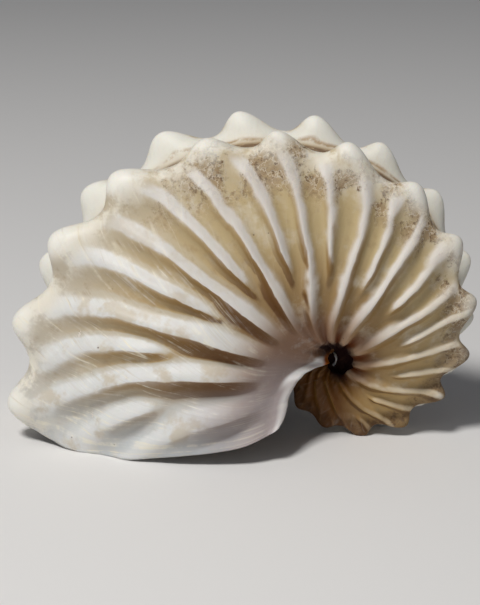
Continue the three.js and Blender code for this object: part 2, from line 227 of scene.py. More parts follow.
def rib_wave(angle, share):
    """The ribs' shape, from crest to trough, and their pitch in degrees."""
    wander = 0.7 * uneven(1, angle / 9, share / 0.16) + 0.45 * uneven(2, angle / 3.1, share / 0.05)
    line = angle - rib_lean(angle, share) + wander * fade(0.15, 0.4, share)
    count = rib_count(line)
    pitch = 1 / (rib_count(line + 0.5) - rib_count(line - 0.5))
    on_flank = blend(SHARPNESS_FLANK, SHARPNESS_LATE, fade(115, 165, angle))
    sharpness = blend(SHARPNESS_INSIDE, on_flank, fade(0.1, 0.42, share))

    def rounded(wave):
        return 2 * np.clip((1 + wave) / 2, 0, 1) ** sharpness - TROUGH_DEPTH

    every = rounded(np.cos(2 * np.pi * count))
    long_only = rounded(np.cos(np.pi * (count - FIRST_LONG_RIB)))
    end = blend(SHORT_RIB_END["early"], SHORT_RIB_END["middle"], fade(-85, -40, angle))
    end = end + (SHORT_RIB_END["late"] - SHORT_RIB_END["middle"]) * fade(145, 165, angle)
    return blend(long_only, every, fade(end - SHORT_RIB_FADE, end + SHORT_RIB_FADE, share)), pitch


def rib_strength(angle, place):
    """1 where the ribs stand at full height, down to 0 at the keel and by the smooth lip."""
    share = radius_share(angle, place)
    window = fade(-0.06, 0.27, share) * (1 - 0.9 * fade(0.8, 0.93, share))
    off_keel = fade(KEEL_EDGE - 0.2, KEEL_EDGE + 1.2, place)
    smooth_lip = fade(92, 140, angle) * (1 - fade(0.2, 0.36, share))
    last_growth = fade(-10, -1, angle - margin_angle(share))
    return window * off_keel * (1 - smooth_lip) * (1 - 0.65 * last_growth)


def rib_height(angle, place):
    """Millimetres by which a rib lifts the wall."""
    wave, pitch = rib_wave(angle, radius_share(angle, place))
    return RIB_HEIGHT * knob_radius(angle) * (pitch / RIB_PITCH) * wave * rib_strength(angle, place)


# The knobs. They are hollow bulges of the keel's two edges, grown one after another, and the two
# rows alternate. Both lists are growth angles.
NEAR_KNOBS = [
    -160, -130, -102, -74, -45, -18, 5, 27.5, 49, 68.5, 88, 104.5, 119.5, 138, 154.5, 171.5, 187,
]
FAR_KNOBS = [
    -145, -116, -88, -59, -31, -6.5, 16.5, 38, 60, 79.5, 96.5, 113.5, 130, 149, 165.5, 182.5,
]
KNOB_LEAN = 0.62      # 0 pushes a knob straight off the surface, more turns it outward
KNOB_BASE = 0.985     # level of a knob's base, as a share of the keel radius
KNOB_RISE = 1.04      # a knob's height, as a share of the way from its base to the knob radius

# Two knobs of the near row are lower: their growth angles, and the share of their height.
LOW_KNOBS = {104.5: 0.78, 119.5: 0.78}


def knob_bump(angle, place, knobs):
    """1 at the top of a knob, 0 between the knobs and away from the keel's edge."""
    spaced = [2 * knobs[0] - knobs[1], *knobs, 2 * knobs[-1] - knobs[-2]]
    along = np.zeros(np.broadcast(angle, place).shape)
    for before, knob, after in zip(spaced, spaced[1:], spaced[2:]):
        reach = np.where(angle < knob, knob - before, after - knob) / 2
        x = np.minimum(np.abs(angle - knob) / reach, 1)
        along = np.maximum(along, LOW_KNOBS.get(knob, 1) * (0.5 + 0.5 * np.cos(np.pi * x)) ** 1.2)
    down_the_flank = 1 - fade(0, 2.1, place - KEEL_EDGE)
    into_the_keel = 1 - fade(0, 1.7, KEEL_EDGE - place)
    return along * np.where(place > KEEL_EDGE, down_the_flank, into_the_keel)


def knob_height(angle):
    """Millimetres by which a knob of full height rises at a growth angle."""
    return KNOB_RISE * (knob_radius(angle) - KNOB_BASE * keel_radius(angle))


# The umbilicus and the free lip. Round the umbilicus the flank is drawn in towards the coil's axis.
# The lip is the last of the flank's inner edge: it has left the coil, and is thicker and flared.

# Radius of the flank's inner edge against growth angle: the umbilicus, then the free lip.
INNER_EDGE = [
    (-330, 1.2), (-240, 2.0), (-180, 2.3), (-60, 2.2), (30, 2.6), (155, 2.6), (162, 3.3), (167, 4.7),
    (172, 5.75), (177, 6.65), (183, 7.4), (191, 8.4), (199, 9.4), (208, 10.4), (214, 11.6), (218, 13.8),
]
inner_edge = table_curve(INNER_EDGE)

WALL = 0.55           # thickness of the wall, a little over the real one
THIN_WALL = 0.07      # the thinner wall of the small first turns, as a share of the keel radius
LIP_WALL = 1.5        # thickness of the rolled lip
LIP_WIDTH = 3.2       # how far in from its edge the lip thickens
LIP_FLARE = 0.9       # how far the lip's edge turns out
DRAWN_IN = 0.5        # share of its half width by which the flank is drawn in at the umbilicus
FOLLOW = 0.85         # how much of the ribs and knobs shows on the inside
DENT_DEPTH = 0.08     # of the shallow unevenness all over the flank

# The wall's mesh. Every column of it is a former margin of the mouth, so the columns are the shell's
# growth lines, and the last one is the edge of the mouth.

# Rows from the keel's middle to the umbilicus. Past RIB_BAND a row's place is a share of the way to
# the inner edge.
KNOB_FOOT = 4.4       # place down to which the rows stand close together, for the knobs
half_rows = np.concatenate((
    np.linspace(0, KNOB_FOOT, 25)[:-1],
    np.linspace(KNOB_FOOT, RIB_BAND, 7)[:-1],
    RIB_BAND + np.linspace(0, 1, 30) ** 0.9,
))
ROWS = 2 * len(half_rows) - 1
marks = np.concatenate((half_rows[::-1], half_rows[1:]))[None, :]
sides = np.where(np.arange(ROWS) < len(half_rows) - 1, -1, 1)[None, :]

# Columns stand closer together in angle where the coil is wider.
FIRST_MARGIN = -262   # growth angle at which the mesh starts, inside the umbilicus
COLUMNS = 500
even = np.linspace(FIRST_MARGIN, MARGIN_AT_KEEL, 4000)
travelled = np.concatenate(([0], np.cumsum(np.sqrt(keel_radius(even[1:])))))
stations = np.interp(np.linspace(0, travelled[-1], COLUMNS), travelled, even)[:, None]

# The margin itself is slightly chipped.
CHIP_DEPTH = 0.45     # in degrees
chips = CHIP_DEPTH * np.maximum(uneven(4, 0 * marks, sides * marks / 0.35), 0)
stations = stations - chips * (np.arange(COLUMNS) == COLUMNS - 1)[:, None]


SETTLE_ROUNDS = 8


def settle(stations, marks):
    """Growth angle and place of every crossing of a former margin and a row, found by closing in."""
    place = np.minimum(marks, RIB_BAND) + 0 * stations
    angle = stations + 0 * marks
    for _ in range(SETTLE_ROUNDS):
        angle = stations + margin_angle(radius_share(angle, place)) - MARGIN_AT_KEEL
        inner = place_at_radius(inner_edge(angle) / keel_radius(angle))
        flank = RIB_BAND + (marks - RIB_BAND) * (inner - RIB_BAND)
        place = np.where(marks > RIB_BAND, flank, place)
    return angle, place


def drawn_in(angle, place):
    """Share of its half width by which the flank is drawn in, where it turns into the umbilicus."""
    share = radius_share(angle, place)
    by_umbilicus = 1 - fade(0.06, 0.155, share)
    return DRAWN_IN * by_umbilicus * fade(20, 75, angle) * (1 - fade(122, 150, angle))


def lip_amount(angle, place):
    """1 at the free lip's edge, 0 at LIP_WIDTH from it and where the flank joins the coil."""
    beyond = section_at(place)[0][..., 0] * keel_radius(angle) - inner_edge(angle)
    return (1 - fade(0, LIP_WIDTH, beyond)) * fade(136, 156, angle)


def surface(angle, place, side, sink=0, relief=1):
    """Points of the wall, sink millimetres under its outer face, with a share of the relief."""
    middle, normal = section_at(place)
    middle = np.stack((middle[..., 0], middle[..., 1] * (1 - drawn_in(angle, place))), axis=-1)
    knobs = np.where(side < 0, knob_bump(angle, place, NEAR_KNOBS), knob_bump(angle, place, FAR_KNOBS))
    knob_way = normal / 2 + (KNOB_LEAN, 0)
    knob_way = knob_way / np.linalg.norm(knob_way, axis=-1, keepdims=True)
    dents = DENT_DEPTH * uneven(3, angle / 5, side * place / 0.55) * fade(2.6, 4, place)
    lift = relief * (rib_height(angle, place) + dents) + LIP_FLARE * lip_amount(angle, place) ** 2 - sink
    point = (middle * keel_radius(angle)[..., None] + normal * lift[..., None]
             + knob_way * (relief * knobs * knob_height(angle))[..., None])
    turn = np.radians(angle)
    return np.stack((point[..., 0] * np.cos(turn), side * point[..., 1], point[..., 0] * np.sin(turn)), -1)


def wall_thickness(angle, place):
    """Millimetres, thin on the flank and thick at the lip."""
    plain = np.minimum(WALL, THIN_WALL * keel_radius(angle))
    return blend(plain, LIP_WALL, lip_amount(angle, place))


# The wall as one closed skin. In every column the loop of points runs over the outside from the
# near inner edge to the far one, round the edge, back over the inside, and round the other edge.
ROLL_STEPS = 3

angle, place = settle(stations, marks)
thickness = wall_thickness(angle, place)
outside = surface(angle, place, sides)
half_way = (slice(None), slice(None, None, 2))
inside = surface(angle[half_way], place[half_way], sides[half_way], thickness[half_way], FOLLOW)


def roll(start, end, before):
    """Points of a round edge from one skin's last point to the other's, bulging away from before."""
    middle = (start + end) / 2
    across = start - end
    out = middle - before
    out -= (out * across).sum(-1, keepdims=True) * across / (across ** 2).sum(-1, keepdims=True)
    out /= np.linalg.norm(out, axis=-1, keepdims=True)
    radius = np.linalg.norm(across, axis=-1, keepdims=True) / 2
    turns = [np.pi * (k + 1) / (ROLL_STEPS + 1) for k in range(ROLL_STEPS)]
    bulge = [middle + across / 2 * math.cos(turn) + out * radius * math.sin(turn) for turn in turns]
    return np.stack(bulge, axis=1)


far_roll = roll(outside[:, -1], inside[:, -1], outside[:, -2])
near_roll = roll(inside[:, 0], outside[:, 0], inside[:, 1])
loops = np.concatenate((outside, far_roll, inside[:, ::-1], near_roll), axis=1)
LOOP = loops.shape[1]

# What each point knows about itself, for the finish. A rib's underside is where its height rises
# on the way straight up, and that slope is measured over a short step each way.
share = radius_share(angle, place)
wave, _ = rib_wave(angle, share)
strength = rib_strength(angle, place)


def height_near(step):
    """Height of the ribs some millimetres straight above or below each point."""
    turn = np.radians(angle)
    above_angle = angle + np.degrees(step * np.cos(turn) / (share * knob_radius(angle)))
    above_share = share + step * np.sin(turn) / knob_radius(angle)
    near_wave, pitch = rib_wave(above_angle, above_share)
    return RIB_HEIGHT * knob_radius(angle) * (pitch / RIB_PITCH) * near_wave * strength


SLOPE_STEP = 0.3
under = (height_near(SLOPE_STEP) - height_near(-SLOPE_STEP)) / (2 * SLOPE_STEP)
knobs_here = np.where(sides < 0, knob_bump(angle, place, NEAR_KNOBS), knob_bump(angle, place, FAR_KNOBS))
keel_stations = stations[:, 0]
step_turns = np.radians(1) * np.diff(keel_stations, prepend=FIRST_MARGIN)
grown = np.cumsum(step_turns * keel_radius(keel_stations))[:, None]
facts = {
    "angle": angle,
    "share": share,
    "place": place,
    "grown": grown + 0 * place,      # millimetres of keel grown up to there
    "rib": wave,
    "rib_strength": strength,
    "under": under,
    "knob": knobs_here,
    "lip": lip_amount(angle, place),
    "inside": 0 * place,
}


def around(values):
    """Values on the outer skin, carried round the edges and over the inner skin."""
    inner = values[half_way]
    far = np.repeat(values[:, -1:], ROLL_STEPS, axis=1)
    near = np.repeat(values[:, :1], ROLL_STEPS, axis=1)
    return np.concatenate((values, far, inner[:, ::-1], near), axis=1)


facts = {name: around(values) for name, values in facts.items()}
facts["inside"][:, ROWS + ROLL_STEPS:LOOP - ROLL_STEPS] = 1

points = loops.reshape(-1, 3)
faces = []
for column in range(COLUMNS - 1):
    here = column * LOOP
    there = here + LOOP
    for row in range(LOOP):
        after = (row + 1) % LOOP
        faces.append((here + row, here + after, there + after, there + row))

INNER_ROWS = inside.shape[1]
for column, flip in ((0, True), (COLUMNS - 1, False)):
    base = column * LOOP
    inner_at = [base + ROWS + ROLL_STEPS + INNER_ROWS - 1 - k for k in range(INNER_ROWS)]
    caps = [
        (base + 2 * k, base + 2 * k + 1, base + 2 * k + 2, inner_at[k + 1], inner_at[k])
        for k in range(INNER_ROWS - 1)
    ]
    caps.append((inner_at[-1], base + ROWS - 1, *[base + ROWS + k for k in range(ROLL_STEPS)]))
    caps.append((base, inner_at[0], *[base + LOOP - ROLL_STEPS + k for k in range(ROLL_STEPS)]))
    faces.extend(cap[::-1] if flip else cap for cap in caps)

# The core of the coil. The first turns are grown together into one small disc, which closes the
# umbilicus: a deep pit in each side, where the edge of an inner turn shows as a thin crescent ridge
# whose pale colour is a painted highlight.
CORE_STEPS = 120
CORE_START = -150     # growth angle at which its turn starts
PIT_RADIUS = 2.5      # inside it lies the pit's floor
PIT_FLOOR = 0.5       # half width of the core at the pit's floor
FLOOR_FLAT = 1.6      # radius up to which the floor is flat
FLOOR_RISE = 0.6      # of the floor from there to its edge
CORE_RIM = 3.1        # radius of the pits' rims, which lie under the flanks
CORE_EDGE = 6.4       # radius of the disc, inside the turn that grew around it
RIM_DROP = 0.35       # how far the rims lie under the flanks
LIP_LEAVES = 150      # growth angle at which the free lip starts to leave the core
LAST_OPEN = 195       # growth angle past which it has left it
INNER_TURN = -165     # growth angle of the inner turn that the core then keeps to
CRESCENT_CENTRE = (-2.0, 0.1)
CRESCENT_RADIUS = 1.45
CRESCENT_WIDTH = 0.13
CRESCENT_HEIGHT = 1.6

core_angle = np.linspace(CORE_START, CORE_START + 360, CORE_STEPS, endpoint=False)
core_turn = np.radians(core_angle)


def flank_width(angle, radius):
    """Half width of the flank at a radius in millimetres."""
    place = place_at_radius(radius / keel_radius(angle))
    return section_at(place)[0][..., 1] * (1 - drawn_in(angle, place)) * keel_radius(angle)


inner_turn = flank_width(np.array(float(INNER_TURN)), CORE_RIM)
turn_before = flank_width(core_angle - 360, CORE_RIM)
under_lip = blend(flank_width(core_angle, CORE_RIM), inner_turn, fade(LIP_LEAVES, LAST_OPEN, core_angle))
rim_width = np.where(core_angle > LAST_OPEN, turn_before, under_lip) - RIM_DROP

pit_radii = np.linspace(0.1, PIT_RADIUS, 22)[:, None]
from_centre = np.hypot(pit_radii * np.cos(core_turn) - CRESCENT_CENTRE[0],
                       pit_radii * np.sin(core_turn) - CRESCENT_CENTRE[1])
crescent = np.exp(-((from_centre - CRESCENT_RADIUS) / CRESCENT_WIDTH) ** 2)
crescent = crescent * (1 - fade(1.2, 1.9, pit_radii))
floor_rise = FLOOR_RISE * fade(FLOOR_FLAT, PIT_RADIUS, pit_radii)
floor_width = PIT_FLOOR + CRESCENT_HEIGHT * crescent + floor_rise

# Radius of the core past its pit, and its half width there as a share of the rim's.
BEYOND_PIT = [
    (2.8, 0.65), (CORE_RIM, 1), ((CORE_RIM + CORE_EDGE) / 2, 0.82), (CORE_EDGE - 0.4, 0.3),
    (CORE_EDGE, 0.1),
]
core_profile = list(zip(pit_radii[:, 0], floor_width))
core_profile += [(radius, part * rim_width) for radius, part in BEYOND_PIT]
core_rows = []
for side, profile in ((-1, core_profile), (1, core_profile[::-1])):
    for radius, width in profile:
        ring = (radius * np.cos(core_turn), side * width, radius * np.sin(core_turn))
        core_rows.append(np.stack(ring, axis=-1))
core = np.stack(core_rows, axis=1)
no_crescent = np.zeros((len(BEYOND_PIT), CORE_STEPS))
# The crescent's pale paint, given through the lip's fact, is a painted highlight on its ridge.
crescent_highlight = np.concatenate((crescent, no_crescent, no_crescent, crescent[::-1])).T
core_start = len(points)
points = np.concatenate((points, core.reshape(-1, 3)))
near_ring = [core_start + step * len(core_rows) for step in range(CORE_STEPS)]
far_ring = [first + len(core_rows) - 1 for first in near_ring]
faces.append(near_ring[::-1])
faces.append(far_ring)
for step in range(CORE_STEPS):
    here = core_start + step * len(core_rows)
    there = core_start + (step + 1) % CORE_STEPS * len(core_rows)
    for row in range(len(core_rows) - 1):
        faces.append((here + row, here + row + 1, there + row + 1, there + row))

# The wall and the core are one piece. Its right end and its highest knob touch the sides of the
# shell's box, and nothing stands out of that box.
MM = 0.001
points = points * MM
pole = np.array((cad_high[0] - points[:, 0].max(), 0, cad_high[2] - points[:, 2].max()))
points = points + pole
points = np.clip(points, cad_low, cad_high)

mesh = bpy.data.meshes.new("shell_wall")
mesh.from_pydata(points.tolist(), [], faces)
mesh.update()
mesh.shade_smooth()
CORE_SHARE = 0.05     # share of the radius that the core counts as, for its colour
nothing = np.zeros(core.shape[:2])
core_facts = {
    "share": nothing + CORE_SHARE,
    "place": nothing + len(SECTION) - 1,
    "lip": crescent_highlight,
}
for name, values in facts.items():
    core_values = core_facts.get(name, nothing)
    told = np.concatenate((values.reshape(-1), core_values.reshape(-1))).astype(np.float32)
    mesh.attributes.new(name, "FLOAT", "POINT").data.foreach_set("value", told)

shell = bpy.data.objects.new("shell_wall", mesh)
bpy.context.collection.objects.link(shell)
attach(shell, "root")
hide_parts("shell")

# The finish. The wall is calcite, creamy white when fresh. Old wall is stained tan in the furrows
# between the ribs, mauve brown by the umbilicus, where the brown is partly painted shade, and amber on
# the first half turn.


class Signal:
    """A shader socket that can be reckoned with: each operator adds the Math node that it needs."""

    tree = None       # the node tree that new nodes go into

    def __init__(self, socket):
        self.socket = socket

    @classmethod
    def node(cls, kind, settings, sockets, output=0):
        """The output of a new node, whose settings are set before its sockets are filled or linked."""
        made = cls.tree.nodes.new(kind)
        for name, setting in settings.items():
            setattr(made, name, setting)
        for name, given in sockets.items():
            if isinstance(given, Signal):
                cls.tree.links.new(given.socket, made.inputs[name])
            else:
                made.inputs[name].default_value = given
        return cls(made.outputs[output])

    def reckon(self, operation, *others):
        """A Math node with this socket first."""
        sockets = dict(enumerate((self, *others)))
        return Signal.node("ShaderNodeMath", {"operation": operation}, sockets)

    def __add__(self, other):
        return self.reckon("ADD", other)

    def __mul__(self, other):
        return self.reckon("MULTIPLY", other)

    def __sub__(self, other):
        return self.reckon("SUBTRACT", other)

    def __rsub__(self, other):
        return Signal.node("ShaderNodeMath", {"operation": "SUBTRACT"}, {0: other, 1: self})

    __radd__ = __add__
    __rmul__ = __mul__

    def clipped(self):
        return Signal.node("ShaderNodeClamp", {}, {"Value": self})

    def larger(self, other):
        return self.reckon("MAXIMUM", other)

    def rising(self, low, high):
        """0 up to low, 1 from high on, smooth between them."""
        return Signal.node("ShaderNodeMapRange", {"interpolation_type": "SMOOTHSTEP"},
                           {"Value": self, "From Min": low, "From Max": high})

    def falling(self, low, high):
        """1 up to low, 0 from high on."""
        return 1 - self.rising(low, high)


def paint(red, green, blue):
    """A colour given in display values from 0 to 255, as the shader's linear one."""
    return (*[(part / 255) ** 2.2 for part in (red, green, blue)], 1)


def mixed(ground, laid, amount):
    """The ground colour, with another laid on it by an amount."""
    return Signal.node("ShaderNodeMix", {"data_type": "RGBA"}, {0: amount, 6: ground, 7: laid}, output=2)


# The calcite of the wall, the only material of the shell.
material = bpy.data.materials.new("calcite")
material.use_nodes = True
Signal.tree = material.node_tree
principled = material.node_tree.nodes["Principled BSDF"]


def fact(name):
    """What each point knows about itself."""
    return Signal.node("ShaderNodeAttribute", {"attribute_name": name}, {}, output="Fac")


at_angle = fact("angle")
at_share = fact("share")
at_place = fact("place")
at_grown = fact("grown")
at_rib = fact("rib")
at_strength = fact("rib_strength")
at_knob = fact("knob")
at_lip = fact("lip")
at_inside = fact("inside")
at_under = fact("under")

# The spot on the wall in millimetres, for the noises.
spot = Signal.node("ShaderNodeTexCoord", {}, {}, output="Object")
spot = Signal.node("ShaderNodeVectorMath", {"operation": "SCALE"}, {0: spot, "Scale": 1 / MM})


def cloud(grain, detail, roughness=0.55, where=spot):
    """Noise from 0 to 1 whose blotches are about grain millimetres across."""
    return Signal.node("ShaderNodeTexNoise", {}, {
        "Vector": where, "Scale": 1 / grain, "Detail": detail, "Roughness": roughness,
    })


def along_growth(across, along, level):
    """Place for noise that is drawn out: across the growth lines, and along them."""
    stretched = {"X": at_grown * across + 0.15 * cloud(4, 2), "Y": at_place * along, "Z": level}
    return Signal.node("ShaderNodeCombineXYZ", {}, stretched)


# The noises that the parts below share. Growth lines lie along the former margins of the mouth.
growth_noise = cloud(1, 1, 0.5, along_growth(0.2, 0.1, 0.0))
threads = cloud(1, 3, 0.6, along_growth(1.4, 0.3, 7.0))
folds = cloud(1, 1, 0.5, along_growth(0.12, 0.1, 11.0))
blotches = cloud(6, 4, 0.6)
mottle = cloud(2.4, 4, 0.65)
fleck = cloud(1.1, 5, 0.72)


def near_level(noise, width):
    """Thin lines where a noise passes its middle value."""
    return (noise - 0.5).reckon("ABSOLUTE").falling(0, width)


# Zones of the shell. The first five go by the age of the wall, the last two by the way from the
# umbilicus to the keel.
oldest = at_angle.falling(-95, -42)
old = at_angle.falling(-75, 20)
half_old = at_angle.falling(-10, 72)
late = at_angle.rising(112, 172)
by_margin = at_angle.rising(170, 204)
navel = at_share.falling(0.14, 0.3)
shoulder = at_share.rising(0.76, 0.9)

# The furrows between the ribs hold the stain: dark brown near the umbilicus, tan further out and
# beige by the shoulder. On the older turn they are golden, and on the oldest one amber.
dark_brown = paint(112, 80, 48)
brown = paint(150, 122, 82)
tan = paint(182, 162, 122)
beige = paint(206, 192, 166)
furrow = mixed(dark_brown, brown, at_share.rising(0.2, 0.38))
furrow = mixed(furrow, tan, at_share.rising(0.36, 0.66))
furrow = mixed(furrow, beige, shoulder * 0.6)

# On the late shell each furrow is painted light grey on a rib's upper side and darker on its underside:
# painted light and shade from above.
late_brown = paint(110, 78, 42)
late_tan = paint(174, 148, 106)
late_lit_grey = paint(190, 180, 162)
underside_shade_mask = at_under.rising(-0.14, 0.08) * at_share.falling(0.6, 0.95)
late_furrow = mixed(late_brown, late_tan, at_share.rising(0.24, 0.55))
late_furrow = mixed(late_lit_grey, late_furrow, underside_shade_mask)
furrow = mixed(furrow, late_furrow, late)

golden = paint(182, 152, 104)
old_brown = paint(112, 74, 30)
old_golden = paint(186, 154, 102)
amber = paint(98, 60, 8)
bluish_grey = paint(190, 194, 196)
mid_flank = at_share.rising(0.2, 0.45) * at_share.falling(0.7, 0.95)
furrow = mixed(furrow, golden, half_old * mid_flank * 0.7)
old_furrow = mixed(old_brown, old_golden, at_share.rising(0.2, 0.6))
furrow = mixed(furrow, old_furrow, old)
furrow = mixed(furrow, amber, oldest)
furrow = mixed(furrow, bluish_grey, by_margin)

pale_patch = paint(208, 198, 178)
brown_patch = paint(140, 112, 76)
paler = (blotches + 0.4 * (mottle - 0.5)).rising(0.48, 0.72)
browner = mottle.rising(0.5, 0.75)
furrow = mixed(furrow, pale_patch, paler * (1 - oldest) * 0.55)
furrow = mixed(furrow, brown_patch, browner * (1 - by_margin) * (1 - oldest) * 0.35)

# The crests are worn pale: bluish white on the late shell, pinkish further in and further back. A
# crest's light band is pushed towards the rib's upper side, with a sharp lower edge and a cloudy upper
# one: that shift is painted light from above.
pinkish_white = paint(216, 210, 204)
late_white = paint(216, 216, 214)
dull_patch = paint(192, 178, 154)
cream_beige = paint(214, 202, 180)
old_beige = paint(196, 178, 148)
oldest_brown = paint(146, 110, 66)
inner_tan = paint(170, 144, 122)
ridge = mixed(pinkish_white, late_white, late)
ridge = mixed(ridge, dull_patch, late * blotches.falling(0.36, 0.5) * 0.7)
ridge = mixed(ridge, cream_beige, half_old)
ridge = mixed(ridge, old_beige, old)
ridge = mixed(ridge, oldest_brown, oldest)
ridge = mixed(ridge, inner_tan, at_share.falling(0.2, 0.42))

# The upper flank before the margin is more stained, so less of its crests is pale.
stained = at_angle.rising(104, 122) * at_angle.falling(158, 182) * at_share.rising(0.4, 0.6)

# How far up the rib a spot is, counted more on its upper side as painted light from above, and where
# the ribs stand at all.
rib_rise_and_top_light = at_rib - 1.8 * at_under + 0.5 * (mottle - 0.5) + 0.4 * (fleck - 0.5)
standing = at_strength.rising(0.06, 0.4)
broad = 0.3 * late + 0.5 * shoulder
crest = (rib_rise_and_top_light + broad - 0.7 * half_old - 0.15 * stained).rising(0.35, 1.2) * standing
crest = crest * (1 - 0.25 * old)
crest = crest * (1 - 0.6 * at_share.falling(0.2, 0.42) * at_angle.falling(90, 115))
cloudy = (rib_rise_and_top_light + broad - 0.5 * stained + 1.8 * (blotches - 0.5)).rising(-0.5, 0.9)
cloudy = cloudy * standing * (1 - 0.7 * half_old) * (1 - old) * 0.5
uneven_white = 0.85 + 0.9 * (mottle - 0.5) * late + 0.4 * (blotches - 0.5)
wall = mixed(furrow, ridge, cloudy)
wall = mixed(wall, ridge, (crest * uneven_white).clipped())

# The lower side of each rib is painted darker, a painted shade from light above: ochre on the late
# shell, brown on the old whorl.
ochre = paint(140, 106, 50)
old_underside_shade = paint(84, 52, 16)
lower = at_under + 0.12 * (mottle - 0.5)
underside_fringe_shade = lower.rising(0.0, 0.14) * at_rib.rising(-0.5, 0.3) * at_share.falling(0.5, 0.86)
wall = mixed(wall, ochre, underside_fringe_shade * (1 - by_margin) * 0.7)
wall = mixed(wall, old_underside_shade, lower.rising(0.05, 0.28) * at_rib.rising(-0.7, 0.2) * old * 0.8)

# Brown-grey dirt lies beside the keel, stuck in the wall's fine grain. It is crazed with cream lines,
# and darker on the older knobs.
dirt_brown = paint(150, 124, 92)
dirt_dark = paint(80, 54, 34)
dirt_core = paint(84, 62, 46)
craze_cream = paint(228, 218, 200)
grains = cloud(0.8, 5, 0.75)
off_knob = 1 - at_knob.rising(0.55, 0.9) * at_angle.rising(20, 70)
dirt_zone = at_share.rising(0.7, 0.86) * at_angle.falling(118, 150) * off_knob * at_place.rising(2.0, 2.5)
stirred = cloud(7, 2, 0.5) + 0.36 * (grains - 0.5) + 0.24 * at_angle.falling(0, 66)
dirt = stirred.rising(0.47, 0.54) * dirt_zone * (1 - 0.85 * crest)
crazing = near_level(cloud(1.6, 3, 0.6), 0.035) * dirt_zone * at_angle.rising(-20, 40)
dirt_paint = mixed(dirt_brown, dirt_dark, at_angle.falling(-20, 60))
wall = mixed(wall, dirt_paint, dirt * (0.55 + 1.4 * (mottle - 0.42)).clipped())
wall = mixed(wall, dirt_core, dirt * grains.rising(0.5, 0.62) * 0.7)
wall = mixed(wall, craze_cream, crazing * stirred.rising(0.44, 0.52) * 0.55)

# The knobs and the strip beside them are rubbed to a clean cream, the knobs most of all.
strip_cream = paint(232, 226, 212)
knob_cream = paint(236, 233, 224)
strip = at_share.rising(0.84, 0.94) * (blotches + 0.3 * (fleck - 0.5)).rising(0.4, 0.56)
knob_top = at_knob.rising(0.3, 0.8) * (1 - oldest * 0.85) * (1 - dirt * half_old)
wall = mixed(wall, strip_cream, strip * at_angle.rising(0, 50) * 0.85)
wall = mixed(wall, knob_cream, knob_top * 0.9)

# Around the umbilicus the ends of the old ribs are broad petals with dark red grooves between them,
# and the wall of the last half turn is a smooth mauve grey. On the funnel above the hole it is mauve
# brown, partly stain and partly painted shade.
petal_brown = paint(120, 82, 46)
petal_pink = paint(172, 142, 116)
groove_brown = paint(74, 34, 8)
mauve_brown_and_shade = paint(136, 104, 82)
mauve_grey = paint(150, 134, 130)
mauve_pale = paint(168, 156, 148)
margin_grey = paint(164, 154, 154)
petal = mixed(petal_brown, petal_pink, at_rib.rising(-0.5, 0.6))
wall = mixed(wall, petal, navel * (1 - oldest))
groove = at_rib.falling(-0.82, -0.6) * at_share.falling(0.12, 0.24) * at_share.rising(0.04, 0.08)
wall = mixed(wall, groove_brown, groove * at_angle.falling(92, 118) * 0.9)
smooth_zone = at_share.falling(0.2, 0.36) * at_angle.rising(92, 112)
smooth_paint = mixed(mauve_brown_and_shade, mauve_grey, at_angle.rising(140, 178))
smooth_paint = mixed(smooth_paint, mauve_pale, mottle.rising(0.5, 0.7) * 0.5)
wall = mixed(wall, smooth_paint, smooth_zone)
wall = mixed(wall, margin_grey, at_share.falling(0.34, 0.5) * at_angle.rising(176, 196) * 0.7)

# A dark brown stain fills the inner ends of the late furrows, close under the crest above.
inner_stain = paint(90, 54, 16)
inner_end = at_share.rising(0.15, 0.34) * at_share.falling(0.36, 0.68) * at_angle.rising(84, 108)
wall = mixed(wall, inner_stain, lower.rising(0.06, 0.2) * inner_end * (1 - by_margin * 0.7) * 0.85)

# The hole of the umbilicus is painted near black, a painted shade for its deep pit, and round it
# lies a red-brown that is partly stain and partly painted shade.
red_brown_stain_and_shade = paint(96, 44, 12)
hole_shade_black = paint(38, 8, 2)
round_hole_stain_and_shade = at_share.falling(0.12, 0.26) * at_angle.falling(100, 126) * at_rib.falling(-0.3, 0.7)
wall = mixed(wall, red_brown_stain_and_shade, round_hole_stain_and_shade * (1 - oldest) * 0.75)
hole_share = at_share + 0.1 * (mottle - 0.5) - 0.02 * at_rib
hole_shade = hole_share.falling(0.07, 0.15) * at_angle.falling(128, 150)
hole_shade = hole_shade.larger(at_share.falling(0.16, 0.3) * oldest)
wall = mixed(wall, hole_shade_black, (hole_shade + hole_shade * (fleck - 0.5)).clipped())

# The free lip is thick and white where it leaves the umbilicus, its white partly a painted highlight
# on the rolled edge; the pale crescent in the core's pits takes the same paint. Further out only its
# edge is pale, and its tip in the hole is amber.
lip_white_and_highlight = paint(240, 238, 236)
lip_grey = paint(206, 202, 200)
lip_amber = paint(168, 92, 26)
outer_lip = at_angle.rising(176, 192)
wall = mixed(wall, lip_white_and_highlight, at_lip.rising(0.1, 0.5) * at_angle.falling(176, 192))
wall = mixed(wall, lip_grey, at_lip.rising(0.55, 0.9) * outer_lip * 0.8)
wall = mixed(wall, lip_amber, at_share.falling(0.055, 0.068) * at_angle.rising(128, 145))

# Growth lines lie along the former margins: few, pale and yellowish, plainest on the late shell.
line_yellow = paint(234, 226, 204)
thread_white = paint(236, 234, 228)
thread_ochre = paint(180, 158, 116)
shown = (0.15 + 0.85 * late) * (1 - navel) * (0.35 + 0.65 * at_share.rising(0.25, 0.5))
shown = shown * (mottle + blotches - 0.5).rising(0.35, 0.75)
wall = mixed(wall, line_yellow, near_level(growth_noise, 0.02) * shown * 0.75)
wall = mixed(wall, thread_white, threads.rising(0.5, 0.72) * shown * 0.5)
wall = mixed(wall, thread_ochre, threads.falling(0.3, 0.45) * shown * (1 - by_margin) * 0.5)

